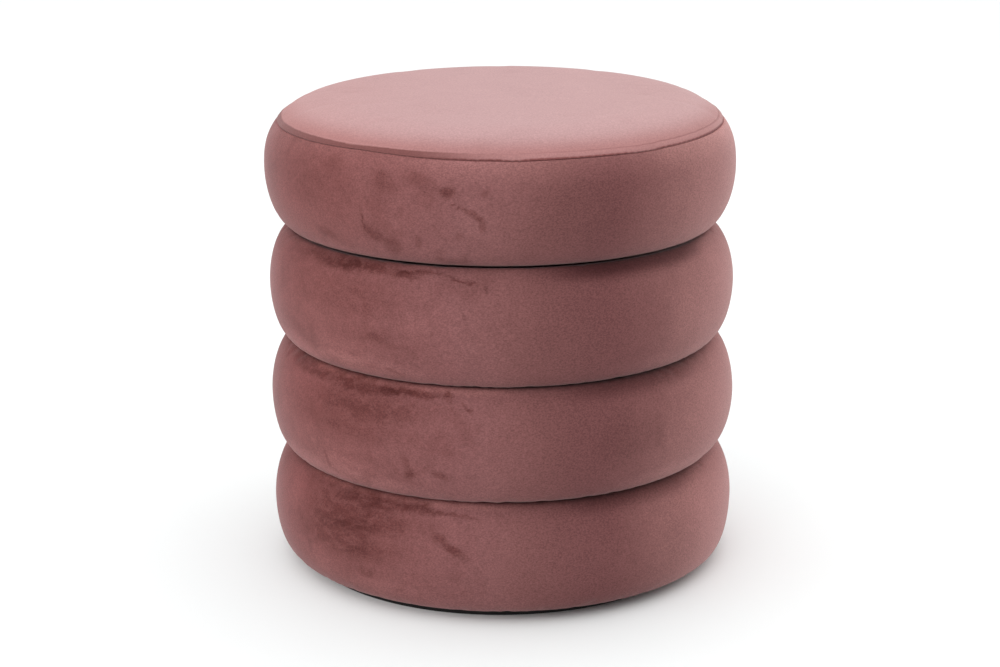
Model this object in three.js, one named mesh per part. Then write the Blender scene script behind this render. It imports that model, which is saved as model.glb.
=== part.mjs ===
// Round storage ottoman: a hard drum wrapped in three padded velvet rolls, closed by a
// padded lid that lifts off. Millimetres, +Z up, origin at the centre of the underside.
import * as THREE from 'three';

// Overall sizes
const fitGap = 0.3;
const roundSteps = 72;
const tierPitch = 96.8;

// Base board, a dark disc set back under the lower roll
const baseBoard = { radius: 172, thickness: 5, chamfer: 1 };

// Drum, the hard wall around the storage space
const drum = { innerRadius: 155, outerRadius: 165, chamfer: 1 };

// Rolls: depth is how far a roll stands out from its grooves. The two powers set how full
// its section is across and how round it is from top to bottom.
const bulge = { depth: 25.2, acrossPower: 0.8, uprightPower: 1.05, steps: 12 };
const rolls = [
  { name: 'roll_lower', radius: 199.5, twoLobe: 0.5, threeLobe: 0.4, turnDeg: 15 },
  { name: 'roll_middle', radius: 199.5, twoLobe: 0.6, threeLobe: 0.3, turnDeg: 110 },
  { name: 'roll_upper', radius: 198.5, twoLobe: 0.4, threeLobe: 0.5, turnDeg: 230 },
];

// Lid: the band bulges out to the radius, the shoulder turns over it to the flat top, and
// the seam between band and top panel runs round the shoulder.
const lid = {
  radius: 200,
  skirtHeight: 50.8,
  shoulderRise: 55.5,
  flatTopRadius: 130.5,
  crownRise: 3,
  acrossPower: 0.728,
  uprightPower: 0.784,
  seamRadius: 189.2,
  twoLobe: 0.4,
  threeLobe: 0.3,
  turnDeg: 60,
};
const seam = { dip: 1.8, reach: 9, stepCrowding: 1.6 };
const padWall = { radius: 172, topHeight: 56, halfGap: 0.17 };
const lidBoard = { radius: 171.8, thickness: 12, chamfer: 1.5 };
const locator = { radius: 152, thickness: 9, lowerChamfer: 3, upperChamfer: 0.5 };
const bandSteps = { skirt: 7, shoulder: 7 };
const panelSteps = { shoulder: 8, top: 3 };

// Heights worked out from the sizes above
const drumBottom = baseBoard.thickness + fitGap;
const drumTop = drumBottom + rolls.length * tierPitch - fitGap;
const lidBottom = drumTop + fitGap;
const lidEquator = lidBottom + lid.skirtHeight;
const padBottom = lidBottom + lidBoard.thickness + fitGap;
const quarterTurn = Math.PI / 2;

const velvet = { color: 0x9c6c6a, roughness: 0.9, metalness: 0 };
const fibreboard = { color: 0xb39068, roughness: 0.8, metalness: 0 };
const darkBoard = { color: 0x1e1b1b, roughness: 0.85, metalness: 0 };

const ottoman = new THREE.Group();

// Revolves a section of [radius, height] points round the Z axis
function turned(section) {
  const points = section.map(([radius, height]) => new THREE.Vector2(radius, height));
  const geometry = new THREE.LatheGeometry(points, roundSteps);
  geometry.rotateX(quarterTurn);
  return geometry;
}

function addPiece(name, geometry, look) {
  const mesh = new THREE.Mesh(geometry, new THREE.MeshStandardMaterial(look));
  mesh.name = name;
  ottoman.add(mesh);
}

// A disc with chamfered edges, as a section from the axis back to the axis
function discSection(radius, bottom, thickness, lowerChamfer, upperChamfer) {
  const top = bottom + thickness;
  return [
    [0, bottom],
    [radius - lowerChamfer, bottom],
    [radius, bottom + lowerChamfer],
    [radius, top - upperChamfer],
    [radius - upperChamfer, top],
    [0, top],
  ];
}

// Hand-filled padding is never quite round: moves the bulging part of a velvet piece in or
// out by a slow wave, and leaves its grooves and contact faces where they are
function unevenRound(geometry, shape) {
  const grooveRadius = shape.radius - bulge.depth;
  const turn = THREE.MathUtils.degToRad(shape.turnDeg);
  const position = geometry.attributes.position;
  for (let i = 0; i < position.count; i += 1) {
    const x = position.getX(i);
    const y = position.getY(i);
    const radius = Math.hypot(x, y);
    const share = THREE.MathUtils.clamp((radius - grooveRadius) / bulge.depth, 0, 1);
    const azimuth = Math.atan2(y, x) - turn;
    const wave = shape.twoLobe * Math.cos(2 * azimuth) + shape.threeLobe * Math.cos(3 * azimuth);
    const scale = radius > 0 ? (radius + share * wave) / radius : 1;
    position.setXY(i, x * scale, y * scale);
  }
  return geometry;
}

// A point of a roll's round side: angle runs from -90 degrees at the lower groove to +90
// degrees at the upper one
function bulgePoint(angle, radius, middle, halfHeight) {
  const across = Math.max(Math.cos(angle), 0) ** bulge.acrossPower;
  const upright = Math.sign(angle) * Math.abs(Math.sin(angle)) ** bulge.uprightPower;
  return [radius - bulge.depth * (1 - across), middle + halfHeight * upright];
}

function makeRoll(row, level) {
  const halfHeight = (tierPitch - fitGap) / 2;
  const bottom = drumBottom + level * tierPitch;
  const middle = bottom + halfHeight;
  const wallRadius = drum.outerRadius + fitGap;
  const section = [[wallRadius, bottom]];
  for (let i = 0; i <= bulge.steps; i += 1) {
    const angle = quarterTurn * (2 * i / bulge.steps - 1);
    section.push(bulgePoint(angle, row.radius, middle, halfHeight));
  }
  section.push([wallRadius, bottom + 2 * halfHeight]);
  section.push([wallRadius, bottom]);
  addPiece(row.name, unevenRound(turned(section), row), velvet);
}

// The lid's shoulder before the seam draws it in: angle 0 is the widest point, 90 degrees
// is where the flat top begins
function plainShoulder(angle) {
  const across = Math.max(Math.cos(angle), 0) ** lid.acrossPower;
  const upright = Math.max(Math.sin(angle), 0) ** lid.uprightPower;
  const radius = lid.flatTopRadius + (lid.radius - lid.flatTopRadius) * across;
  const height = lidEquator + lid.shoulderRise * upright + crownAt(radius);
  return [radius, height];
}

function crownAt(radius) {
  return lid.crownRise * Math.max(1 - (radius / lid.seamRadius) ** 2, 0);
}

const seamShare = (lid.seamRadius - lid.flatTopRadius) / (lid.radius - lid.flatTopRadius);
const seamAngle = Math.acos(seamShare ** (1 / lid.acrossPower));
const seamPoint = plainShoulder(seamAngle);

// The shoulder as sewn: the stitches pull the cloth in along the seam
function shoulderPoint(angle) {
  const step = 0.001;
  const [radius, height] = plainShoulder(angle);
  const [nextRadius, nextHeight] = plainShoulder(angle + step);
  const length = Math.hypot(nextRadius - radius, nextHeight - height);
  const away = Math.hypot(radius - seamPoint[0], height - seamPoint[1]);
  const pull = seam.dip * Math.max(1 - away / seam.reach, 0) ** 2;
  const outRadius = (nextHeight - height) / length;
  const outHeight = (radius - nextRadius) / length;
  return [radius - pull * outRadius, height - pull * outHeight];
}

// Steps that crowd together towards the seam
function towardsSeam(share) {
  return 1 - (1 - share) ** seam.stepCrowding;
}

function makeLidBand() {
  const wallRadius = padWall.radius + padWall.halfGap;
  const section = [[wallRadius, lidBottom]];
  for (let i = 0; i < bandSteps.skirt; i += 1) {
    const angle = quarterTurn * (i / bandSteps.skirt - 1);
    section.push(bulgePoint(angle, lid.radius, lidEquator, lid.skirtHeight));
  }
  for (let i = 0; i <= bandSteps.shoulder; i += 1) {
    const angle = seamAngle * towardsSeam(i / bandSteps.shoulder);
    const [radius, height] = shoulderPoint(angle);
    section.push([i === bandSteps.shoulder ? radius + padWall.halfGap : radius, height]);
  }
  section.push([wallRadius, lidBottom + padWall.topHeight]);
  section.push([wallRadius, lidBottom]);
  addPiece('lid_band', unevenRound(turned(section), lid), velvet);
}

function makeLidPanel() {
  const wallRadius = padWall.radius - padWall.halfGap;
  const section = [
    [0, padBottom],
    [wallRadius, padBottom],
    [wallRadius, lidBottom + padWall.topHeight],
  ];
  for (let i = 0; i <= panelSteps.shoulder; i += 1) {
    const share = 1 - towardsSeam(1 - i / panelSteps.shoulder);
    const [radius, height] = shoulderPoint(seamAngle + (quarterTurn - seamAngle) * share);
    section.push([i === 0 ? radius - padWall.halfGap : radius, height]);
  }
  for (let i = 1; i <= panelSteps.top; i += 1) {
    const radius = lid.flatTopRadius * (1 - i / panelSteps.top);
    section.push([radius, lidEquator + lid.shoulderRise + crownAt(radius)]);
  }
  addPiece('lid_panel', unevenRound(turned(section), lid), velvet);
}

function makeLidBoard() {
  const { radius, thickness, chamfer } = lidBoard;
  const section = discSection(radius, lidBottom, thickness, chamfer, chamfer);
  addPiece('lid_board', turned(section), fibreboard);
}

function makeLocator() {
  const { radius, thickness, lowerChamfer, upperChamfer } = locator;
  const bottom = lidBottom - fitGap - thickness;
  const section = discSection(radius, bottom, thickness, lowerChamfer, upperChamfer);
  addPiece('lid_locator', turned(section), fibreboard);
}

function makeDrum() {
  const { innerRadius, outerRadius, chamfer } = drum;
  const section = [
    [innerRadius, drumBottom],
    [outerRadius, drumBottom],
    [outerRadius, drumTop - chamfer],
    [outerRadius - chamfer, drumTop],
    [innerRadius + chamfer, drumTop],
    [innerRadius, drumTop - chamfer],
    [innerRadius, drumBottom],
  ];
  addPiece('drum', turned(section), fibreboard);
}

function makeBaseBoard() {
  const { radius, thickness, chamfer } = baseBoard;
  const section = discSection(radius, 0, thickness, chamfer, chamfer);
  addPiece('base_board', turned(section), darkBoard);
}

makeBaseBoard();
makeDrum();
rolls.forEach(makeRoll);
makeLidBoard();
makeLocator();
makeLidBand();
makeLidPanel();

export default ottoman;
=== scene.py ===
import math

import bpy
import numpy as np
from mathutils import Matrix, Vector


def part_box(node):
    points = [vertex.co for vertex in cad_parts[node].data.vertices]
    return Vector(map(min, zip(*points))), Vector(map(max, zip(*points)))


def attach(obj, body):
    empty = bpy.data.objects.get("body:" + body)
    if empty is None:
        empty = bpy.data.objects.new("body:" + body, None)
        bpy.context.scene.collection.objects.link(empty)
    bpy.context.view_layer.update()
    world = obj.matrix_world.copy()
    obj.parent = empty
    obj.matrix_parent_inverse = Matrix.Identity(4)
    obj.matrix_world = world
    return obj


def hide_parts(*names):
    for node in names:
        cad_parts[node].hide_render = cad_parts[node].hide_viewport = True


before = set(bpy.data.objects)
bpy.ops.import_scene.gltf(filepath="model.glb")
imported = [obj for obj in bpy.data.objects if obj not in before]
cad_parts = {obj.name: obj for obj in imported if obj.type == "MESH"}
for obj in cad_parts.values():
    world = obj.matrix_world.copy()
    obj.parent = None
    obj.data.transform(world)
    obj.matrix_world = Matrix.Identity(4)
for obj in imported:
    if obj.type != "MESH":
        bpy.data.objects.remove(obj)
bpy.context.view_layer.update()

# Sizes in metres. The sections start from the driving sizes of the CAD solids.
AROUND = 480
THETA = np.linspace(0, 2 * math.pi, AROUND, endpoint=False)
ROLL_STEPS = 64
FIT_GAP = 0.0003
BULGE_DEPTH = 0.0252
BULGE_UPRIGHT_POWER = 1.05
BUMP_HEIGHT = 0.00022
LID_SKIRT_HEIGHT = 0.0508
LID_SHOULDER_RISE = 0.0555
LID_FLAT_TOP_RADIUS = 0.1305
LID_CROWN_RISE = 0.003
LID_LEAN = 0.0008
LID_ACROSS_POWER = 0.74
LID_UPRIGHT_POWER = 0.784
LID_STEPS = {"skirt": 32, "band_shoulder": 40, "panel_shoulder": 56, "top": 22}
SEAM_RADIUS = 0.1892
SEAM_DIP = 0.0009
SEAM_REACH = 0.0028
SEAM_HALF_GAP = 0.00022
SEAM_CROWDING = 1.7
ALLOWANCE_WIDTH = 0.0055
ALLOWANCE_RISE = 0.0005
PAD_WALL_RADIUS = 0.172
PAD_WALL_HEIGHT = 0.056

# A crest is a low swelling of a roll's top next to its groove. Its curve rises to 1 at its
# highest point, and this share of it may stand above the CAD node.
CREST_POWER = 24
CREST_SCALE = (CREST_POWER + 1) * (1 + 1 / CREST_POWER) ** CREST_POWER
CREST_CEILING = 0.6

# Slow waves: how many go round, how far they slope with the height, how the short ones fade
WAVE_LOBES = (4, 6, 9, 13, 19)
WAVE_SLOPE = 25
WAVE_FADE = 0.7

# Each padded piece, in metres and degrees:
#   radius                    how far out its widest line lies
#   upper_power, lower_power  how full its section is above and below that line: a smaller
#                             power is fuller
#   upper_right, lower_right  how much fuller each half is on the right
#   two, three, turn          its slow unevenness in two and three lobes, and their turn
#   right                     how far it leans out to the right
#   lift                      how far its underside is drawn up, the bearing right of the
#                             front where that is most, and the power by which it falls off
#   crest                     the height of its crest, at the same bearing
#   seed, slack, kept         the seed of its small bumps, the slack of its cloth, and the
#                             share of the cloth's movement that is kept
SHAPES = {
    "roll_lower": {
        "radius": 0.2005, "upper_power": 0.96, "lower_power": 0.62,
        "upper_right": 0.10, "lower_right": 0.15,
        "two": 0.0005, "three": 0.0004, "turn": 15, "right": 0.0022,
        "lift": (0.0026, -3, 1), "crest": 0.0005,
        "seed": 3, "slack": 0.010, "kept": 0.45,
    },
    "roll_middle": {
        "radius": 0.2016, "upper_power": 0.98, "lower_power": 0.79,
        "upper_right": 0.12, "lower_right": 0.0,
        "two": 0.0006, "three": 0.0003, "turn": 110, "right": 0.0016,
        "lift": (0, 0, 1), "crest": 0.0005,
        "seed": 5, "slack": 0.010, "kept": 0.45,
    },
    "roll_upper": {
        "radius": 0.1998, "upper_power": 0.96, "lower_power": 0.80,
        "upper_right": 0.0, "lower_right": 0.0,
        "two": 0.0004, "three": 0.0005, "turn": 230, "right": 0.0009,
        "lift": (0, 5, 0.7), "crest": 0.0034,
        "seed": 7, "slack": 0.010, "kept": 0.45,
    },
    "lid": {
        "radius": 0.2009, "upper_power": 0.8, "lower_power": 1.04,
        "upper_right": 0.0, "lower_right": 0.0,
        "two": 0.0004, "three": 0.0003, "turn": 60, "right": 0.0004,
        "lift": (0.0026, 5, 0.7), "crest": 0,
        "seed": 11, "slack": 0.0015, "kept": 0.10,
    },
}

# Cloth simulation of the padding
SIM_AROUND = 240
SIM_THETA = np.linspace(0, 2 * math.pi, SIM_AROUND, endpoint=False)
SIM_STEPS = 14
SIM_FRAMES = 20
SIM_QUALITY = 5
SIM_PRESSURE = 4.0
SIM_STRETCH_STIFFNESS = 15
SIM_BENDING_STIFFNESS = 2
SIM_CAP = 0.003
SLACK_SEED_STEP = 100


# Mesh helpers
def new_object(name, points, faces, smooth=True):
    mesh = bpy.data.meshes.new(name)
    mesh.from_pydata([tuple(p) for p in points], [], faces)
    mesh.validate()
    mesh.update()
    if smooth:
        mesh.polygons.foreach_set("use_smooth", [True] * len(mesh.polygons))
    piece = bpy.data.objects.new(name, mesh)
    bpy.context.scene.collection.objects.link(piece)
    return piece


def ring_mesh(radius, height, theta, start=None, end=None):
    """Points and faces of a skin laid round the Z axis. radius and height have one row for
    each ring of points and one column for each direction in theta. With no start and end the
    last ring joins the first; start and end are the heights of two points on the axis."""
    rows, around = radius.shape
    points = np.stack([radius * np.cos(theta), radius * np.sin(theta), height], -1)
    points = points.reshape(-1, 3)
    closed = start is None
    faces = []
    for row in range(rows if closed else rows - 1):
        low, high = row * around, ((row + 1) % rows) * around
        for i in range(around):
            j = (i + 1) % around
            faces.append((low + i, low + j, high + j, high + i))
    if not closed:
        first, last = len(points), len(points) + 1
        points = np.concatenate([points, [[0, 0, start]], [[0, 0, end]]])
        top = (rows - 1) * around
        for i in range(around):
            j = (i + 1) % around
            faces.append((first, j, i))
            faces.append((last, top + i, top + j))
    return points, faces


def level(radius, height):
    """One ring of points at a single radius and height."""
    return np.full((1, AROUND), radius), np.full((1, AROUND), height)


def repeated(column, around):
    """A ring of equal values for each value in a column."""
    return np.repeat(np.asarray(column)[:, None], around, 1)


def stack(*rings):
    """Joins pieces of a skin, each given as its radii and heights."""
    return np.concatenate([r for r, _ in rings]), np.concatenate([h for _, h in rings])


# Shape of the padding
def slow_waves(theta, height, seed):
    """Smooth unevenness a few centimetres long, the same on each run."""
    rng = np.random.default_rng(seed)
    total = np.zeros(np.broadcast(theta, height).shape)
    for lobes in WAVE_LOBES:
        turn, slope = rng.uniform(0, 2 * math.pi), rng.uniform(-WAVE_SLOPE, WAVE_SLOPE)
        total += np.cos(lobes * theta + turn + slope * height) / lobes ** WAVE_FADE
    return total


def bulge(angles, theta, shape, middle, half_height):
    """Radius and height of a round side: angle runs from -90 degrees at the lower groove to
    90 degrees at the upper one, and each row of the result is one angle."""
    angle = np.asarray(angles)[:, None]
    power = np.where(angle > 0, shape["upper_power"], shape["lower_power"])
    right = np.where(angle > 0, shape["upper_right"], shape["lower_right"])
    power = power - right * np.cos(theta)[None, :]
    across = np.maximum(np.cos(angle), 0) ** power
    upright = np.sign(angle) * np.abs(np.sin(angle)) ** BULGE_UPRIGHT_POWER
    radius = shape["radius"] - BULGE_DEPTH * (1 - across)
    lift, bearing, falloff = shape["lift"]
    facing = np.maximum(-np.sin(theta - math.radians(bearing)), 0)[None, :] ** falloff
    below, above = np.maximum(-upright, 0), np.clip(upright, 0, 1)
    plump = CREST_SCALE * above ** CREST_POWER * (1 - above)
    raised = facing * (lift * below + shape["crest"] * plump)
    return radius, middle + half_height * upright + raised


def uneven(radius, height, theta, shape):
    """Moves the bulging part in or out, and leaves the contact faces where they are."""
    share = np.clip((radius - (shape["radius"] - BULGE_DEPTH)) / BULGE_DEPTH, 0, 1)
    turned = theta - math.radians(shape["turn"])
    wave = shape["two"] * np.cos(2 * turned) + shape["three"] * np.cos(3 * turned)
    wave = wave + BUMP_HEIGHT * slow_waves(theta, height, shape["seed"])
    wave = wave + shape["right"] * np.cos(theta)
    return radius + share * wave


def swell(radius, height, theta, held, shape):
    """Fills a coarse skin under pressure as cloth with a little slack, held at its contact
    faces, and gives back how far each point then lies from an even swelling: the outline
    stays as measured, and the gathers and slow bumps are the cloth's own."""
    rows, around = radius.shape
    low, high = height[0, 0], height[-1, 0]
    points, faces = ring_mesh(radius, height, theta, low, high)
    padding = new_object("padding", points, faces)
    fixed = np.concatenate([np.repeat(held, around), [True, held[-1]]])
    held_group = padding.vertex_groups.new(name="held")
    held_group.add([int(i) for i in np.where(fixed)[0]], 1.0, "REPLACE")
    slack_seed = shape["seed"] + SLACK_SEED_STEP
    slack = slow_waves(np.tile(theta, rows), height.ravel() * 2, slack_seed)
    slack = (slack - slack.min()) / (slack.max() - slack.min())
    slack_group = padding.vertex_groups.new(name="slack")
    for i, value in enumerate(slack):
        slack_group.add([i], float(value), "REPLACE")
    cloth = padding.modifiers.new("cloth", "CLOTH")
    settings = cloth.settings
    settings.quality = SIM_QUALITY
    settings.tension_stiffness = settings.compression_stiffness = SIM_STRETCH_STIFFNESS
    settings.bending_stiffness = SIM_BENDING_STIFFNESS
    settings.use_pressure = True
    settings.uniform_pressure_force = SIM_PRESSURE
    settings.vertex_group_mass = held_group.name
    settings.vertex_group_shrink = slack_group.name
    settings.shrink_min = -shape["slack"]
    settings.effector_weights.gravity = 0
    cloth.collision_settings.use_collision = False
    cloth.point_cache.frame_end = SIM_FRAMES
    scene = bpy.context.scene
    for step in range(1, SIM_FRAMES + 1):
        scene.frame_set(step)
    result = padding.evaluated_get(bpy.context.evaluated_depsgraph_get())
    filled = np.empty(len(points) * 3)
    result.data.vertices.foreach_get("co", filled)
    bpy.data.objects.remove(padding)
    scene.frame_set(1)
    filled = filled.reshape(-1, 3)[:rows * around]
    fields = []
    for after, before in (
        (np.hypot(filled[:, 0], filled[:, 1]), radius.ravel()),
        (filled[:, 2], height.ravel()),
    ):
        moved = (after - before).reshape(rows, around)
        moved = moved - moved.mean(1, keepdims=True)
        fields.append(shape["kept"] * np.clip(moved, -SIM_CAP, SIM_CAP))
    return fields


def resample(field, places):
    """Smooth values of a coarse field on the fine mesh: places are fractional row numbers,
    one for each row or for each point, and the columns go all the way round."""
    rows, coarse = field.shape
    waves = np.fft.rfft(field, axis=1)
    wide = np.zeros((rows, AROUND // 2 + 1), complex)
    wide[:, :waves.shape[1]] = waves
    fine = np.fft.irfft(wide, AROUND, axis=1) * AROUND / coarse
    places = np.clip(np.broadcast_to(places, (len(places), AROUND)), 0, rows - 1)
    base = np.minimum(places.astype(int), rows - 2)
    t = places - base
    column = np.arange(AROUND)[None, :]
    before, here, after, beyond = (
        fine[np.clip(base + k, 0, rows - 1), column] for k in (-1, 0, 1, 2)
    )
    slope = after - before
    curve = 2 * before - 5 * here + 4 * after - beyond
    twist = 3 * (here - after) + beyond - before
    return here + 0.5 * t * (slope + t * (curve + t * twist))


def padding_fields(name, rings):
    """Swelling of one piece on its coarse rings."""
    radius, height, held = rings
    return swell(radius, height, SIM_THETA, held, SHAPES[name])


def make_roll(name):
    shape = SHAPES[name]
    low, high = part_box(name)
    middle, half_height = (low[2] + high[2]) / 2, (high[2] - low[2]) / 2
    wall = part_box("drum")[1][0] + FIT_GAP

    steps = 2 * SIM_STEPS
    angles = (2 * np.arange(steps + 1) / steps - 1) * math.pi / 2
    radius, height = bulge(angles, SIM_THETA, shape, middle, half_height)
    radius = uneven(radius, height, SIM_THETA, shape)
    held = np.zeros(steps + 1, bool)
    held[[0, -1]] = True
    out, up = padding_fields(name, (radius, height, held))

    share = np.arange(ROLL_STEPS + 1) / ROLL_STEPS
    angles = (2 * share - 1) * math.pi / 2
    radius, height = bulge(angles, THETA, shape, middle, half_height)
    radius = uneven(radius, height, THETA, shape)
    places = (share * steps)[:, None]
    radius = radius + resample(out, places)
    ceiling = high[2] + CREST_CEILING * shape["crest"]
    height = np.clip(height + resample(up, places), low[2], ceiling)
    radius, height = stack(level(wall, low[2]), (radius, height), level(wall, high[2]))
    points, faces = ring_mesh(radius, height, THETA)
    return new_object(name + "_velvet", points, faces)


# Shape of the lid
LID_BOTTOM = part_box("lid_band")[0][2]
LID_EQUATOR = LID_BOTTOM + LID_SKIRT_HEIGHT
LID_TOP_EDGE = LID_EQUATOR + LID_SHOULDER_RISE
PAD_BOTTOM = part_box("lid_panel")[0][2]
LID_RADIUS = SHAPES["lid"]["radius"]
SHOULDER_WIDTH = LID_RADIUS - LID_FLAT_TOP_RADIUS
SEAM_SHARE = (SEAM_RADIUS - LID_FLAT_TOP_RADIUS) / SHOULDER_WIDTH
SEAM_ANGLE = math.acos(SEAM_SHARE ** (1 / LID_ACROSS_POWER))
ANGLE_STEP = 0.001

# The seam wanders all round, and is pulled towards the top at one bearing
SEAM_WANDER = 0.0003
SEAM_PULL = {"rise": 0.0022, "bearing": -37, "reach": 15}
# The stitches draw the cloth in unevenly, and more on the right than on the left
PUCKER_COUNT = 180
PUCKER_DEPTH = 0.25
PUCKER_DRIFT = 0.8
LEFT_DIP_SHARE = 0.35
DIP_CHANGE = {"right": -0.3, "reach": 0.08}
# The raised edge of the seam allowance
ALLOWANCE_WANDER = 0.0004
ALLOWANCE_EDGE = 0.0003
WANDER_SEED, PUCKER_SEED, ALLOWANCE_SEED = 21, 33, 35
# Keeps the band and the panel on their own sides of the seam
SEAM_MARGIN = 1e-6
CENTRE_FADE = 0.02


def crown_at(radius):
    return LID_CROWN_RISE * np.maximum(1 - (radius / SEAM_RADIUS) ** 2, 0)


def plain_shoulder(angle):
    """The shoulder before it is sewn: 0 is the widest line and 90 degrees the flat top."""
    across = np.maximum(np.cos(angle), 0) ** LID_ACROSS_POWER
    upright = np.maximum(np.sin(angle), 0) ** LID_UPRIGHT_POWER
    radius = LID_FLAT_TOP_RADIUS + SHOULDER_WIDTH * across
    return radius, LID_EQUATOR + LID_SHOULDER_RISE * upright + crown_at(radius)


def seam_angles():
    """Where the seam lies on the shoulder: it wanders by a millimetre or two, and most at
    the front on the left, where it is pulled towards the top."""
    bearing = np.degrees(np.arctan2(np.cos(THETA), -np.sin(THETA)))
    pull = np.exp(-((bearing - SEAM_PULL["bearing"]) / SEAM_PULL["reach"]) ** 2)
    wander = SEAM_PULL["rise"] * pull + SEAM_WANDER * slow_waves(THETA, 0, WANDER_SEED)
    here, there = plain_shoulder(SEAM_ANGLE), plain_shoulder(SEAM_ANGLE + ANGLE_STEP)
    speed = math.hypot(there[0] - here[0], there[1] - here[1]) / ANGLE_STEP
    return SEAM_ANGLE + wander / speed


def allowance_radius():
    """Radius at which the seam allowance ends under the panel."""
    radius, height = plain_shoulder(SEAM_ANGLE + np.linspace(0, 0.6, 600))
    away = np.hypot(radius - radius[0], height - height[0])
    return float(np.interp(ALLOWANCE_WIDTH, away, radius))


SEAM_ANGLES = seam_angles()
SEAM_POINTS = plain_shoulder(SEAM_ANGLES)
ALLOWANCE_RADIUS = allowance_radius()


def sewn_shoulder(angle, panel):
    """The shoulder as sewn: drawn in at the seam, and lifted on the panel's side where the
    seam allowance lies under the cloth. angle has a row for each ring."""
    radius, height = plain_shoulder(angle)
    next_radius, next_height = plain_shoulder(angle + ANGLE_STEP)
    length = np.hypot(next_radius - radius, next_height - height)
    out_radius = (next_height - height) / length
    out_height = (radius - next_radius) / length
    away = np.hypot(radius - SEAM_POINTS[0], height - SEAM_POINTS[1])
    drift = PUCKER_DRIFT * slow_waves(THETA, 0, PUCKER_SEED)
    pinch = 1 + PUCKER_DEPTH * np.sin(THETA * PUCKER_COUNT + drift)
    rightward = (np.cos(THETA) - DIP_CHANGE["right"]) / DIP_CHANGE["reach"]
    pinch = pinch * (LEFT_DIP_SHARE + (1 - LEFT_DIP_SHARE) / (1 + np.exp(-rightward)))
    lift = -SEAM_DIP * pinch * np.maximum(1 - away / SEAM_REACH, 0) ** 2
    if panel:
        ragged = ALLOWANCE_WIDTH + ALLOWANCE_WANDER * slow_waves(THETA * 2, 0, ALLOWANCE_SEED)
        inside = np.clip((ragged - away) / ALLOWANCE_EDGE, -50, 50)
        lift = lift + ALLOWANCE_RISE / (1 + np.exp(-inside))
    return radius + lift * out_radius, height + lift * out_height


def lean(radius, height):
    """The lid's padding stands a little higher on the right."""
    share = np.clip((height - LID_EQUATOR) / LID_SHOULDER_RISE, 0, 1)
    return height + share * LID_LEAN * (1 + radius * np.cos(THETA) / LID_RADIUS)


def lid_skirt(share, theta):
    """The round side below the widest line, for shares from 0 at its bottom to 1."""
    angles = (share - 1) * math.pi / 2
    return bulge(angles, theta, SHAPES["lid"], LID_EQUATOR, LID_SKIRT_HEIGHT)


def lid_flat_top(share, around):
    """The crowned top, for shares from 0 at the shoulder to 1 at the centre."""
    flat = repeated(LID_FLAT_TOP_RADIUS * (1 - share), around)
    return flat, LID_TOP_EDGE + crown_at(flat)


def lid_padding():
    """Swelling of the whole lid, as if it had no seam."""
    share = np.arange(SIM_STEPS) / SIM_STEPS
    shoulder = plain_shoulder(repeated(share * math.pi / 2, SIM_AROUND))
    radius, height = stack(
        lid_skirt(share, SIM_THETA), shoulder, lid_flat_top(share, SIM_AROUND)
    )
    radius = uneven(radius, height, SIM_THETA, SHAPES["lid"])
    held = np.zeros(len(radius), bool)
    held[0] = True
    return padding_fields("lid", (radius, height, held))


LID_FIELDS = lid_padding()


def filled(radius, height, places):
    """Lid points with their unevenness, lean and swelling."""
    radius, height = uneven(radius, height, THETA, SHAPES["lid"]), lean(radius, height)
    out, up = (resample(field, places) for field in LID_FIELDS)
    fade = np.clip(radius / CENTRE_FADE, 0, 1)
    return radius + out * fade, np.maximum(height + up * fade, LID_BOTTOM)


def shoulder_places(angle):
    """Rows of the coarse rings at which the shoulder's angles lie."""
    return (1 + angle * 2 / math.pi) * SIM_STEPS


def make_lid_band():
    wall = PAD_WALL_RADIUS + SEAM_HALF_GAP
    share = np.arange(LID_STEPS["skirt"]) / LID_STEPS["skirt"]
    skirt = filled(*lid_skirt(share, THETA), (share * SIM_STEPS)[:, None])
    share = np.arange(LID_STEPS["band_shoulder"] + 1) / LID_STEPS["band_shoulder"]
    rise = 1 - (1 - share) ** SEAM_CROWDING
    angle = np.minimum(SEAM_ANGLES * rise[:, None], SEAM_ANGLES - SEAM_MARGIN)
    shoulder = filled(*sewn_shoulder(angle, False), shoulder_places(angle))
    shoulder[0][-1] += SEAM_HALF_GAP
    radius, height = stack(
        level(wall, LID_BOTTOM), skirt, shoulder, level(wall, LID_BOTTOM + PAD_WALL_HEIGHT)
    )
    points, faces = ring_mesh(radius, height, THETA)
    return new_object("lid_band_velvet", points, faces)


def make_lid_panel():
    wall = PAD_WALL_RADIUS - SEAM_HALF_GAP
    share = np.arange(LID_STEPS["panel_shoulder"] + 1) / LID_STEPS["panel_shoulder"]
    rise = share ** SEAM_CROWDING
    angle = SEAM_ANGLES + (math.pi / 2 - SEAM_ANGLES) * rise[:, None]
    angle = np.maximum(angle, SEAM_ANGLES + SEAM_MARGIN)
    shoulder = filled(*sewn_shoulder(angle, True), shoulder_places(angle))
    shoulder[0][0] -= SEAM_HALF_GAP
    share = np.arange(1, LID_STEPS["top"]) / LID_STEPS["top"]
    top = filled(*lid_flat_top(share, AROUND), ((2 + share) * SIM_STEPS)[:, None])
    radius, height = stack(
        level(wall, PAD_BOTTOM), level(wall, LID_BOTTOM + PAD_WALL_HEIGHT), shoulder, top
    )
    centre = LID_TOP_EDGE + LID_CROWN_RISE + LID_LEAN
    points, faces = ring_mesh(radius, height, THETA, PAD_BOTTOM, centre)
    return new_object("lid_panel_velvet", points, faces)


# Hard pieces, turned from sections with rounded edges
BOARD_AROUND = 240
CORNER_STEPS = 4
CORNER_SUPPORT = 0.6


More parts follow.
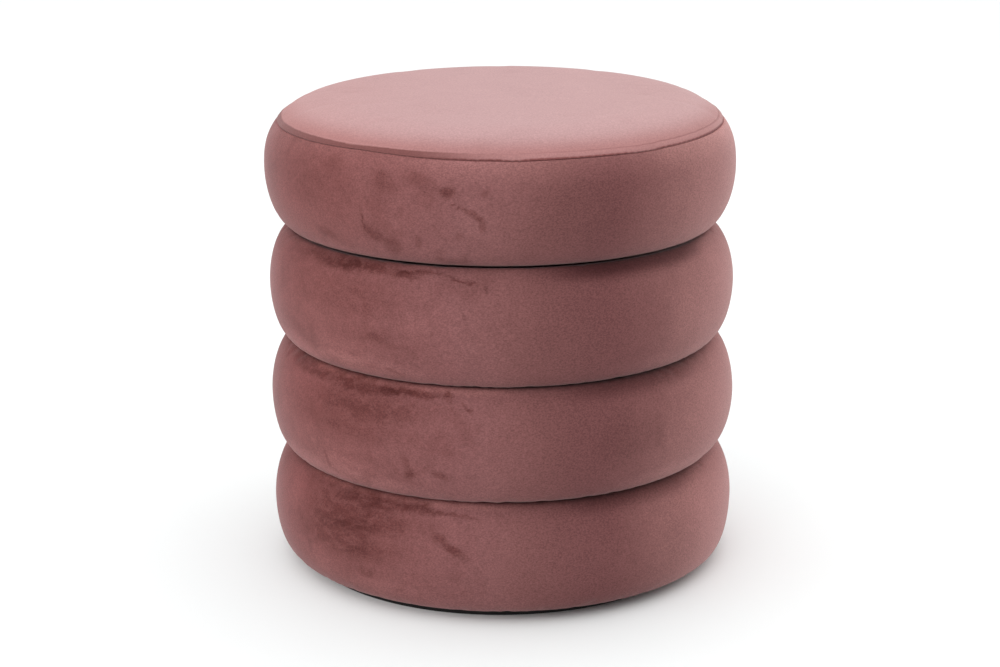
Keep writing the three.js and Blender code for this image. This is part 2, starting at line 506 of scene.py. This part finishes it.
def rounded(section, size):
    """Rounds the corners of a closed section. Points on the axis stay as they are."""
    result = []
    for i, (x, z) in enumerate(section):
        if x == 0:
            result.append((x, z))
            continue
        corner = np.array([x, z])
        before = np.array(section[i - 1]) - corner
        after = np.array(section[(i + 1) % len(section)]) - corner
        start = corner + before / np.linalg.norm(before) * size
        end = corner + after / np.linalg.norm(after) * size
        result.append(tuple(start + (start - corner) * CORNER_SUPPORT))
        for k in range(CORNER_STEPS + 1):
            t = k / CORNER_STEPS
            point = (1 - t) ** 2 * start + 2 * t * (1 - t) * corner + t ** 2 * end
            result.append(tuple(point))
        result.append(tuple(end + (end - corner) * CORNER_SUPPORT))
    return result


def make_board(node, edge, inner):
    """A board, or a wall round an inner radius, that fills its CAD node's box."""
    low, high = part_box(node)
    outer, bottom, top = high[0], low[2], high[2]
    corners = [(inner, bottom), (outer, bottom), (outer, top), (inner, top)]
    section = rounded(corners, edge)
    theta = np.linspace(0, 2 * math.pi, BOARD_AROUND, endpoint=False)
    ring = section if inner else section[1:-1]
    radius = repeated([point[0] for point in ring], BOARD_AROUND)
    height = repeated([point[1] for point in ring], BOARD_AROUND)
    ends = () if inner else (bottom, top)
    points, faces = ring_mesh(radius, height, theta, *ends)
    return new_object(node + "_turned", points, faces)


# Materials
class Look:
    """A new material, with short names for the kinds of node that it is made of. Its place
    is the point in object coordinates: metres to the right, to the back and up. Each node is
    made after those that feed it, or the render runs out of room for their values and turns
    the material black."""

    def __init__(self, name):
        self.material = bpy.data.materials.new(name)
        self.material.use_nodes = True
        self.nodes = self.material.node_tree.nodes
        self.links = self.material.node_tree.links
        self.shader = self.nodes["Principled BSDF"]
        self.place = self.nodes.new("ShaderNodeTexCoord").outputs["Object"]

    def feed(self, socket, value):
        """Links another node's output to a socket, or sets the socket to a value."""
        if isinstance(value, bpy.types.NodeSocket):
            self.links.new(value, socket)
        elif isinstance(value, tuple) and len(socket.default_value) == 4:
            socket.default_value = (*value, 1)
        else:
            socket.default_value = value

    def finish(self, colour, finish):
        """Links the colour, and sets what is the same all over on the shader itself."""
        self.links.new(colour, self.shader.inputs["Base Color"])
        for socket, value in finish.items():
            self.shader.inputs[socket].default_value = value

    def bump(self, height, strength, distance):
        node = self.nodes.new("ShaderNodeBump")
        node.inputs["Strength"].default_value = strength
        node.inputs["Distance"].default_value = distance
        self.links.new(height, node.inputs["Height"])
        self.links.new(node.outputs["Normal"], self.shader.inputs["Normal"])

    def noise(self, vector, scale, detail, roughness, distortion=0.0, output="Fac"):
        node = self.nodes.new("ShaderNodeTexNoise")
        node.inputs["Scale"].default_value = scale
        node.inputs["Detail"].default_value = detail
        node.inputs["Roughness"].default_value = roughness
        node.inputs["Distortion"].default_value = distortion
        self.links.new(vector, node.inputs["Vector"])
        return node.outputs[output]

    def remap(self, value, low, high, to_low=0.0, to_high=1.0):
        """Goes smoothly from to_low to to_high as the value goes from low to high."""
        node = self.nodes.new("ShaderNodeMapRange")
        node.interpolation_type = "SMOOTHSTEP"
        node.inputs["From Min"].default_value = low
        node.inputs["From Max"].default_value = high
        node.inputs["To Min"].default_value = to_low
        node.inputs["To Max"].default_value = to_high
        self.links.new(value, node.inputs["Value"])
        return node.outputs["Result"]

    def mix(self, share, first, second, blend="MIX"):
        node = self.nodes.new("ShaderNodeMix")
        node.data_type = "RGBA"
        node.blend_type = blend
        self.feed(node.inputs[0], share)
        self.feed(node.inputs[6], first)
        self.feed(node.inputs[7], second)
        return node.outputs[2]

    def toned(self, colour, tone, share=1.0):
        """The colour multiplied by a tone, as far as the share goes."""
        return self.mix(share, colour, tone, "MULTIPLY")

    def calculate(self, operation, first, second=0.0):
        node = self.nodes.new("ShaderNodeMath")
        node.operation = operation
        self.feed(node.inputs[0], first)
        self.feed(node.inputs[1], second)
        return node.outputs["Value"]

    def product(self, first, *others):
        for other in others:
            first = self.calculate("MULTIPLY", first, other)
        return first

    def vector_math(self, operation, first, second=(0.0, 0.0, 0.0)):
        node = self.nodes.new("ShaderNodeVectorMath")
        node.operation = operation
        self.feed(node.inputs[0], first)
        self.feed(node.inputs["Scale"] if operation == "SCALE" else node.inputs[1], second)
        return node.outputs["Value" if operation == "LENGTH" else "Vector"]

    def stretched(self, vector, factors):
        return self.vector_math("MULTIPLY", vector, factors)

    def axes(self, vector):
        """The three coordinates of a vector."""
        node = self.nodes.new("ShaderNodeSeparateXYZ")
        self.links.new(vector, node.inputs["Vector"])
        return node.outputs["X"], node.outputs["Y"], node.outputs["Z"]

    def radius(self, vector):
        """Distance from the Z axis."""
        return self.vector_math("LENGTH", self.stretched(vector, (1.0, 1.0, 0.0)))

    def ring_line(self, radius, where, outer, inner):
        """1 on a thin line round the Z axis: full to the inner distance, 0 at the outer."""
        away = self.calculate("ABSOLUTE", self.calculate("SUBTRACT", radius, where))
        return self.remap(away, outer, inner)

    def ruffled(self, target, scale, amount):
        """A vector pushed about by noise, so that what is drawn in it gets ragged edges."""
        push = self.noise(self.place, scale, detail=6.0, roughness=0.65, output="Color")
        centred = self.vector_math("SUBTRACT", push, (0.5, 0.5, 0.5))
        return self.vector_math("ADD", target, self.vector_math("SCALE", centred, amount))

    def unrolled(self):
        """The place on the cloth rolled out flat: X runs to the right from the front, along
        the cloth, and Z is the height."""
        right, back, up = self.axes(self.place)
        bearing = self.calculate("ARCTAN2", right, self.calculate("MULTIPLY", back, -1.0))
        along = self.calculate("MULTIPLY", bearing, UNROLL_RADIUS)
        flat = self.nodes.new("ShaderNodeCombineXYZ")
        self.links.new(along, flat.inputs["X"])
        self.links.new(up, flat.inputs["Z"])
        return flat.outputs["Vector"]


# Zones of tone on the velvet: brushed nap, painted shade and painted highlights, marked
# below. Each zone: degrees right of the front, height, half width and half height in metres,
# turn of its long side in degrees, tone, strength
UNROLL_RADIUS = 0.2
DARK_RED = (0.56, 0.44, 0.42)
DARK = (0.66, 0.62, 0.62)
LIGHT = (1.34, 1.42, 1.42)
NAP_AND_PAINTED_LIGHT_ZONES = [
    # painted shade on the top of the upper roll, just under the lid's groove, on the left
    (-62, 0.2880, 0.030, 0.0090, 0, DARK_RED, 0.40),
    (-48, 0.2920, 0.055, 0.0058, 0, DARK_RED, 0.85),
    (-36, 0.2926, 0.055, 0.0062, 3, DARK_RED, 1.00),
    (-23, 0.2903, 0.014, 0.0042, 0, DARK_RED, 0.90),
    (-20, 0.2933, 0.024, 0.0018, 0, DARK_RED, 0.90),
    (-9, 0.2888, 0.016, 0.0015, -13, DARK_RED, 0.80),
    (-3.6, 0.2845, 0.0024, 0.0050, 8, DARK, 0.80),
    (-42, 0.2700, 0.090, 0.0180, 0, DARK_RED, 0.40),
    (-8, 0.2621, 0.0020, 0.0020, 0, DARK, 0.60),
    (-15.8, 0.2489, 0.0022, 0.0025, 0, DARK, 0.50),
    (-30.5, 0.2388, 0.012, 0.0060, 0, DARK_RED, 0.35),
    (-26, 0.2098, 0.010, 0.0018, -10, DARK_RED, 0.70),
    (-51, 0.2225, 0.006, 0.0150, -10, DARK, 0.45),
    # painted shade on the top of the middle roll, just under its groove, on the left
    (-58, 0.1925, 0.040, 0.0060, 0, DARK_RED, 0.75),
    (-38, 0.1925, 0.060, 0.0065, 0, DARK_RED, 1.00),
    (-22, 0.1925, 0.035, 0.0040, 0, DARK_RED, 1.00),
    (-12.8, 0.1915, 0.0060, 0.0040, -30, DARK_RED, 0.95),
    (-8, 0.1850, 0.010, 0.0015, -40, DARK_RED, 0.50),
    (-6.8, 0.1831, 0.0020, 0.0020, 0, DARK_RED, 0.60),
    (-32, 0.1800, 0.075, 0.0120, 0, DARK_RED, 0.60),
    (-40, 0.1650, 0.080, 0.0200, 0, DARK_RED, 0.50),
    (-21.8, 0.1285, 0.0060, 0.0055, 0, DARK_RED, 0.85),
    (-22.5, 0.1385, 0.0040, 0.0070, 10, DARK_RED, 0.50),
    (-14, 0.1299, 0.0080, 0.0040, -30, DARK_RED, 0.75),
    (-46.5, 0.1244, 0.0030, 0.0080, 5, DARK_RED, 0.75),
    (32, 0.1530, 0.036, 0.0240, 10, DARK, 0.45),
    (40, 0.1480, 0.006, 0.0200, 8, DARK, 0.30),
    # painted shade on the top of the lower roll, just under its groove, on the left
    (-50, 0.0930, 0.040, 0.0080, 0, DARK_RED, 0.60),
    (-32, 0.0945, 0.055, 0.0070, 0, DARK_RED, 1.00),
    (-20, 0.0945, 0.020, 0.0035, 0, DARK_RED, 0.80),
    (-12, 0.0925, 0.030, 0.0016, -8, DARK_RED, 0.60),
    (-38, 0.0800, 0.075, 0.0130, 0, DARK_RED, 0.95),
    (-42, 0.0600, 0.075, 0.0200, 0, DARK_RED, 0.80),
    (-14.5, 0.0753, 0.0060, 0.0050, 0, DARK_RED, 0.60),
    (-11.3, 0.0675, 0.0150, 0.0040, -27, DARK_RED, 0.85),
    (-36, 0.0534, 0.010, 0.0060, 0, DARK_RED, 0.60),
    (-34, 0.0358, 0.010, 0.0050, 0, DARK_RED, 0.50),
    (-54, 0.0420, 0.0035, 0.0150, 8, DARK, 0.50),
    (-50, 0.3600, 0.060, 0.0260, 0, DARK_RED, 0.35),
    (-42, 0.3750, 0.012, 0.0090, 0, DARK_RED, 0.40),
    (-27, 0.3645, 0.016, 0.0100, -20, DARK_RED, 0.45),
    (-18, 0.3690, 0.020, 0.0070, -15, DARK_RED, 0.50),
    (-16.5, 0.3560, 0.012, 0.0080, -30, DARK_RED, 0.35),
    (-11.8, 0.3618, 0.0070, 0.0065, -10, DARK_RED, 0.85),
    (-3.7, 0.3614, 0.0040, 0.0040, 0, DARK_RED, 0.45),
    (-10.8, 0.3511, 0.0030, 0.0015, 20, DARK_RED, 0.70),
    (-9.5, 0.3471, 0.0020, 0.0020, 0, DARK_RED, 0.70),
    (-6, 0.3445, 0.012, 0.0035, -25, DARK_RED, 0.75),
    (-4.2, 0.3370, 0.0040, 0.0060, 20, DARK_RED, 0.65),
    (-9.2, 0.3289, 0.0040, 0.0045, 0, DARK_RED, 0.50),
    (-33, 0.3330, 0.0018, 0.0110, 3, DARK_RED, 0.80),
    (-30.5, 0.3230, 0.012, 0.0060, -15, DARK_RED, 0.65),
    (-26, 0.3150, 0.009, 0.0070, -30, DARK_RED, 0.60),
    (-45.2, 0.3156, 0.014, 0.0060, -12, DARK_RED, 0.60),
    (-19.2, 0.3202, 0.0045, 0.0060, 0, DARK_RED, 0.45),
    (-12, 0.3030, 0.022, 0.0030, 0, DARK_RED, 0.45),
    (18, 0.3400, 0.050, 0.0300, 0, DARK, 0.25),
    (-72, 0.3400, 0.030, 0.0300, 0, DARK, 0.25),
    (50, 0.0540, 0.030, 0.0350, 0, DARK, 0.32),
    (17, 0.0540, 0.050, 0.0350, 0, LIGHT, 0.28),
    (52, 0.2500, 0.035, 0.0300, 0, LIGHT, 0.14),
    # painted highlights along the lower rims of the rolls and of the lid; the last zone is a
    # light patch on the lid
    (-38.8, 0.2209, 0.045, 0.0120, 0, LIGHT, 0.55),
    (-36, 0.2110, 0.060, 0.0090, 0, LIGHT, 0.85),
    (-62, 0.2100, 0.050, 0.0120, 0, LIGHT, 1.00),
    (-40, 0.1240, 0.040, 0.0080, 0, LIGHT, 0.80),
    (-36, 0.1130, 0.060, 0.0080, 0, LIGHT, 0.85),
    (-62, 0.1130, 0.060, 0.0120, 0, LIGHT, 1.00),
    (45, 0.2100, 0.060, 0.0080, 0, LIGHT, 0.45),
    (45, 0.1130, 0.060, 0.0080, 0, LIGHT, 0.45),
    (-50, 0.0330, 0.020, 0.0150, 0, LIGHT, 0.40),
    (-30, 0.0260, 0.040, 0.0080, 0, LIGHT, 0.50),
    (-42, 0.3020, 0.060, 0.0050, 0, LIGHT, 0.55),
    (-27, 0.3350, 0.018, 0.0080, -20, LIGHT, 0.35),
]
# Tone of the sides by metres right: partly the nap's own tone, warmer on the left, and partly
# painted light: painted shade in the dark band right of the front, and a painted highlight on
# the right edge
SIDE_TONES_WITH_PAINTED_LIGHT = [
    (-0.200, (0.207, 0.059, 0.059)),
    (-0.150, (0.220, 0.075, 0.070)),
    (-0.040, (0.225, 0.093, 0.093)),
    (0.000, (0.217, 0.089, 0.087)),
    (0.036, (0.178, 0.071, 0.069)),
    (0.072, (0.155, 0.059, 0.059)),
    (0.105, (0.154, 0.057, 0.057)),
    (0.150, (0.255, 0.113, 0.107)),
    (0.192, (0.354, 0.156, 0.149)),
]
# Tone of the top panel by metres right: lighter than the side tones, partly its nap and
# partly painted light from above
TOP_TONES = [
    (-0.200, (0.435, 0.236, 0.230)),
    (-0.060, (0.430, 0.260, 0.260)),
    (0.060, (0.435, 0.262, 0.262)),
    (0.200, (0.435, 0.262, 0.258)),
]

# Painted shade and light near the grooves: painted shade on the roll tops on the right, a
# painted lighter band on the tops of the two lower rolls on the left, and a dark red painted
# shade line in the fold of each groove. Each row: shares of a tier's height between which it
# sets in, metres to the right between which it starts and between which it ends, the part of
# the velvet that it is kept to, tone
TIER_SHADES = [
    ((0.84, 0.97), (0.03, 0.09), (0.18, 0.145), "any", (0.60, 0.54, 0.54)),
    ((0.88, 0.985), (0.01, 0.07), (0.175, 0.15), "upper_roll", (0.60, 0.52, 0.54)),
    ((0.93, 0.985), (0.03, -0.03), (-0.165, -0.14), "lower_rolls", (1.50, 1.55, 1.50)),
    ((0.986, 0.996), (-0.09, 0.03), (0.18, 0.13), "fold", (0.20, 0.08, 0.09)),
    ((0.012, 0.004), (-0.09, 0.03), (0.18, 0.13), "fold", (0.20, 0.08, 0.09)),
]
TIER_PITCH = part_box("roll_middle")[0][2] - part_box("roll_lower")[0][2]
TIER_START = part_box("roll_lower")[0][2]
ROLLS_TOP = LID_BOTTOM - 0.0004
NO_CEILING = 1.0

# Borders in metres, each from none of the shade to all of it
UPPER_ROLL_HEIGHTS = (0.240, 0.250)
GROOVE_SHADE_HEIGHTS = (LID_BOTTOM + 0.03, LID_BOTTOM + 0.02)
FACE_RADII = (0.1750, 0.1772)
FOLD_RADII = (0.1810, 0.1785)
BAND_RIM_HEIGHTS = (0.362, 0.390)
TOP_SHOULDER_SHADE_HEIGHTS = (0.4015, 0.3900)
SEAM_LINE = (0.0007, 0.0002)
ALLOWANCE_LINE = (0.0011, 0.0002)
ALLOWANCE_BLUR = 0.0006
ZONE_BORDER = (1.25, 0.35)

SEAM_TONE = (0.50, 0.30, 0.30)
RIM_TONE = (1.45, 1.55, 1.52)
TOP_SHOULDER_SHADE_TONE = (0.745, 0.435, 0.405)
ALLOWANCE_STRIP_SHADE = (0.165, 0.058, 0.055)
PILE_GRAIN = 0.26
TOP_MOTTLING = 0.22
VELVET = {
    "Roughness": 0.95,
    "Specular IOR Level": 0.1,
    "Sheen Weight": 0.32,
    "Sheen Roughness": 0.4,
    "Sheen Tint": (1.0, 0.82, 0.82, 1),
}


def finish_velvet(look, colour, amount):
    """Grain of the pile, relative to the colour under it, and the finish."""
    grain_place = look.stretched(look.place, (1.0, 1.0, 1.5))
    grain = look.noise(grain_place, scale=620, detail=4, roughness=0.75)
    shade = look.remap(grain, 0.30, 0.70, to_low=1 - amount, to_high=1 + amount)
    look.finish(look.toned(colour, shade), VELVET)
    pile = look.noise(look.place, scale=1300, detail=2, roughness=0.6)
    look.bump(pile, strength=0.3, distance=0.0005)
    return look.material


def tone_ramp(look, right, stops):
    """Colour by how far right a point lies; stops are (metres right, colour)."""
    share = look.calculate("MULTIPLY_ADD", right, 0.5 / UNROLL_RADIUS)
    share.node.inputs[2].default_value = 0.5
    node = look.nodes.new("ShaderNodeValToRGB")
    node.color_ramp.interpolation = "B_SPLINE"
    points = node.color_ramp.elements
    while len(points) < len(stops):
        points.new(0.5)
    for point, (metres, colour) in zip(points, stops):
        point.position = (metres + UNROLL_RADIUS) / (2 * UNROLL_RADIUS)
        point.color = (*colour, 1)
    look.links.new(share, node.inputs["Fac"])
    return node.outputs["Color"]


def mottled(look, colour, share):
    """Soft patches and small marks left by hands."""
    patches = look.noise(look.place, scale=22, detail=5, roughness=0.6, distortion=0.6)
    marks = look.noise(look.place, scale=110, detail=4, roughness=0.6, distortion=0.8)
    for source, none, full, amount, tone in (
        (patches, 0.52, 0.70, 0.35, DARK_RED),
        (patches, 0.48, 0.30, 0.30, LIGHT),
        (marks, 0.52, 0.72, 0.28, DARK),
        (marks, 0.48, 0.28, 0.22, LIGHT),
    ):
        weight = look.product(look.remap(source, none, full, to_high=amount), share)
        colour = look.toned(colour, tone, weight)
    return colour


def zone_share(look, flat, zone):
    """1 inside one zone of the velvet's tone (nap, painted shade and painted highlights
    alike), fading to 0 at its edge.
    """
    bearing, height, wide, high, turn = zone
    centre = (math.radians(bearing) * UNROLL_RADIUS, 0.0, height)
    offset = look.vector_math("SUBTRACT", flat, centre)
    turned = look.nodes.new("ShaderNodeVectorRotate")
    turned.rotation_type = "Y_AXIS"
    turned.inputs["Angle"].default_value = math.radians(turn)
    look.links.new(offset, turned.inputs["Vector"])
    fitted = look.stretched(turned.outputs["Vector"], (1 / wide, 1.0, 1 / high))
    return look.remap(look.vector_math("LENGTH", fitted), *ZONE_BORDER)


def side_colour(look, ceiling):
    """Colour of the round sides: the tone from left to right with its painted shade and
    painted highlight, the nap with its brushed zones and the zones of painted shade and
    highlights, which are ragged and broken up by streaks, and the painted light and shade
    near the grooves."""
    right, _, _ = look.axes(look.ruffled(look.place, scale=7, amount=0.09))
    colour = tone_ramp(look, right, SIDE_TONES_WITH_PAINTED_LIGHT)
    right, _, _ = look.axes(look.place)
    colour = mottled(look, colour, look.remap(right, 0.05, -0.06, to_low=0.12))

    torn = look.ruffled(look.unrolled(), scale=40, amount=0.014)
    torn = look.ruffled(torn, scale=210, amount=0.005)
    streak_place = look.stretched(look.place, (1.0, 1.0, 2.2))
    streaks = look.noise(streak_place, scale=85, detail=5, roughness=0.7, distortion=0.5)
    broken = look.remap(streaks, 0.36, 0.60, to_low=0.50)
    for *zone, tone, strength in NAP_AND_PAINTED_LIGHT_ZONES:
        share = look.product(zone_share(look, torn, zone), strength, broken)
        colour = look.toned(colour, tone, share)
    return tier_shade(look, colour, ceiling)


def tier_shade(look, colour, ceiling):
    """Painted light and shade near the grooves: painted shade on the right, a painted lighter
    band on the left, and a dark red painted shade line where the cloth turns into the groove.
    What stands above the ceiling is shaded as if it were there, so that a crest takes the
    shade of its roll."""
    right, _, height = look.axes(look.place)
    rise = look.calculate("SUBTRACT", look.calculate("MINIMUM", height, ceiling), TIER_START)
    within = look.calculate("FRACT", look.calculate("DIVIDE", rise, TIER_PITCH))
    out = look.radius(look.place)
    grooves = look.remap(height, *GROOVE_SHADE_HEIGHTS)
    face = look.remap(out, *FACE_RADII)
    parts = {
        "any": 1.0,
        "upper_roll": look.remap(height, *UPPER_ROLL_HEIGHTS),
        "lower_rolls": look.remap(height, *reversed(UPPER_ROLL_HEIGHTS)),
        "fold": look.remap(out, *FOLD_RADII),
    }
    for heights, start, end, part, tone in TIER_SHADES:
        share = look.product(
            look.remap(within, *heights), grooves, look.remap(right, *start),
            look.remap(right, *end), face, parts[part],
        )
        colour = look.toned(colour, tone, share)
    return colour


def seam_shade(look, colour):
    """The cloth turns into the seam: a thin dark red line, faint on the left."""
    line = look.ring_line(look.radius(look.place), SEAM_RADIUS, *SEAM_LINE)
    right, _, height = look.axes(look.place)
    where = look.remap(right, -0.10, 0.0, to_low=0.05, to_high=0.85)
    upper = look.remap(height, LID_EQUATOR, LID_EQUATOR + 0.02)
    return look.toned(colour, SEAM_TONE, look.product(line, where, upper))


def make_side_velvet():
    look = Look("side_velvet")
    return finish_velvet(look, side_colour(look, ROLLS_TOP), PILE_GRAIN)


def make_band_velvet():
    """The same cloth, with a lighter rim just under the seam, where the light falls on it."""
    look = Look("band_velvet")
    colour = side_colour(look, NO_CEILING)
    right, _, height = look.axes(look.ruffled(look.place, scale=60, amount=0.006))
    rim = look.remap(height, *BAND_RIM_HEIGHTS, to_high=0.72)
    where = look.remap(right, -0.10, -0.02, to_low=0.15)
    colour = look.toned(colour, RIM_TONE, look.product(rim, where))
    return finish_velvet(look, seam_shade(look, colour), PILE_GRAIN)


def make_top_velvet():
    """The top panel is lighter than the sides, partly as its pile lies towards the light and
    partly as painted light from above, with painted shade where its shoulder turns down.
    Beyond the pressed edge of the seam allowance it takes the darker tone of the side, first
    of all on
    the left: painted shade where the cloth turns down to the seam."""
    look = Look("top_velvet")
    right, _, _ = look.axes(look.ruffled(look.place, scale=8, amount=0.06))
    colour = mottled(look, tone_ramp(look, right, TOP_TONES), TOP_MOTTLING)
    right, _, height = look.axes(look.place)
    # painted shade: the shoulder darkens and reddens as it turns down from the top
    fall = look.remap(height, *TOP_SHOULDER_SHADE_HEIGHTS, to_high=0.55)
    colour = look.toned(colour, TOP_SHOULDER_SHADE_TONE, fall)

    radius = look.radius(look.ruffled(look.place, scale=160, amount=0.0016))
    inner, outer = ALLOWANCE_RADIUS - ALLOWANCE_BLUR, ALLOWANCE_RADIUS + ALLOWANCE_BLUR
    # painted shade: beyond the allowance's edge the cloth turns down to the seam and takes
    # the side's dark tone, most on the left
    strip = look.remap(radius, inner, outer)
    share = look.product(strip, look.remap(right, 0.02, -0.08, to_high=0.9))
    colour = look.mix(share, colour, ALLOWANCE_STRIP_SHADE)
    line = look.ring_line(radius, ALLOWANCE_RADIUS, *ALLOWANCE_LINE)
    share = look.product(line, look.remap(right, 0.02, 0.14, to_low=0.25, to_high=0.6))
    colour = look.toned(colour, DARK_RED, share)
    return finish_velvet(look, seam_shade(look, colour), PILE_GRAIN / 2)


def make_board_look(name, base, dark, roughness):
    """Pressed fibres: fine mottling, with short flecks along the surface."""
    look = Look(name)
    soft = look.noise(look.place, scale=84, detail=4, roughness=0.6)
    fleck_place = look.stretched(look.place, (1.0, 1.0, 4.0))
    flecks = look.noise(fleck_place, scale=420, detail=5, roughness=0.7, distortion=0.4)
    colour = look.mix(look.remap(soft, 0.35, 0.7, to_high=0.5), base, dark)
    colour = look.mix(look.remap(flecks, 0.5, 0.72, to_high=0.8), colour, dark)
    look.finish(colour, {"Roughness": roughness})
    look.bump(flecks, strength=0.25, distance=0.0004)
    return look.material


# The pieces
side_velvet = make_side_velvet()
band_velvet = make_band_velvet()
top_velvet = make_top_velvet()
fibreboard = make_board_look("fibreboard", (0.42, 0.30, 0.19), (0.26, 0.17, 0.10), 0.8)
dark_board = make_board_look("dark_board", (0.012, 0.011, 0.011), (0.026, 0.024, 0.024), 0.85)

PADDED = (
    ("roll_lower", "base", side_velvet),
    ("roll_middle", "base", side_velvet),
    ("roll_upper", "base", side_velvet),
    ("lid_band", "lid", band_velvet),
    ("lid_panel", "lid", top_velvet),
)
for node, body, material in PADDED:
    if node == "lid_band":
        piece = make_lid_band()
    elif node == "lid_panel":
        piece = make_lid_panel()
    else:
        piece = make_roll(node)
    piece.data.materials.append(material)
    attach(piece, body)
    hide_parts(node)

# Each board: its node and body, inner radius, edge rounding, material and slot
BOARDS = (
    ("drum", "base", 0.155, 0.0018, fibreboard, "fibreboard"),
    ("base_board", "base", 0.0, 0.0012, dark_board, "base_board"),
    ("lid_board", "lid", 0.0, 0.0020, fibreboard, "fibreboard"),
    ("lid_locator", "lid", 0.0, 0.0025, fibreboard, "fibreboard"),
)
for node, body, inner, edge, material, slot in BOARDS:
    board = make_board(node, edge, inner)
    board.data.materials.append(material)
    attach(board, body)
    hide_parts(node)


# Floor, light and camera
FLOOR_HALF = 12.0
FLOOR_COLOUR = (0.855, 0.880, 0.880)
LIT_FLOOR_COLOUR = (0.670, 0.693, 0.693)
FLOOR_GLOW = 0.20
FLOOR_GLOW_BORDER = (0.10, -0.10)

# Each lamp: name, place, target, width and height in metres, power in watts
LAMPS = (
    ("ceiling", (-0.6, 0.2, 4.0), (-0.6, 0.2, 0), (15.0, 15.0), 850),
    ("front_softbox", (-0.7, -2.6, 2.5), (0, 0, 0.2), (1.8, 1.8), 14),
    ("left_softbox", (-2.4, -1.2, 1.2), (0, 0, 0.2), (1.4, 1.4), 5),
    ("right_softbox", (2.0, 0.9, 0.8), (0, 0, 0.2), (1.2, 1.4), 6),
)
WORLD_STRENGTH = 0.30
CAMERA_PLACE = (0, -1.9336, 0.7445)
CAMERA_DOWNWARD = 0.278
CAMERA_LENS = 82.87
CAMERA_SENSOR = 36
CAMERA_CLIP_END = 60


def make_floor():
    """A pale floor that glows a little on the left, where the contact shadow is faint. What
    the glow adds to the floor's light is taken off its colour."""
    look = Look("floor")
    right, _, _ = look.axes(look.place)
    lit = look.remap(right, *FLOOR_GLOW_BORDER)
    look.finish(look.mix(lit, FLOOR_COLOUR, LIT_FLOOR_COLOUR), {
        "Roughness": 0.7,
        "Emission Color": (1, 1, 1, 1),
    })
    glow = look.calculate("MULTIPLY", lit, FLOOR_GLOW)
    look.links.new(glow, look.shader.inputs["Emission Strength"])
    half = FLOOR_HALF
    corners = [(-half, -half, 0), (half, -half, 0), (half, half, 0), (-half, half, 0)]
    floor = new_object("floor", corners, [(0, 1, 2, 3)], smooth=False)
    floor.data.materials.append(look.material)


def make_light():
    world = bpy.data.worlds.new("world")
    world.use_nodes = True
    background = world.node_tree.nodes["Background"]
    background.inputs["Color"].default_value = (1, 1, 1, 1)
    background.inputs["Strength"].default_value = WORLD_STRENGTH
    bpy.context.scene.world = world
    for name, place, target, size, power in LAMPS:
        data = bpy.data.lights.new(name, "AREA")
        data.shape = "RECTANGLE"
        data.size, data.size_y = size
        data.energy = power
        lamp = bpy.data.objects.new(name, data)
        bpy.context.scene.collection.objects.link(lamp)
        lamp.location = place
        direction = Vector(target) - Vector(place)
        lamp.rotation_euler = direction.to_track_quat("-Z", "Y").to_euler()


def make_camera():
    data = bpy.data.cameras.new("camera")
    data.sensor_width = CAMERA_SENSOR
    data.lens = CAMERA_LENS
    data.clip_end = CAMERA_CLIP_END
    camera = bpy.data.objects.new("camera", data)
    bpy.context.scene.collection.objects.link(camera)
    camera.location = CAMERA_PLACE
    camera.rotation_euler = (math.pi / 2 - CAMERA_DOWNWARD, 0, 0)
    bpy.context.scene.camera = camera


make_floor()
make_light()
make_camera()
bpy.context.scene.view_settings.view_transform = "Standard"
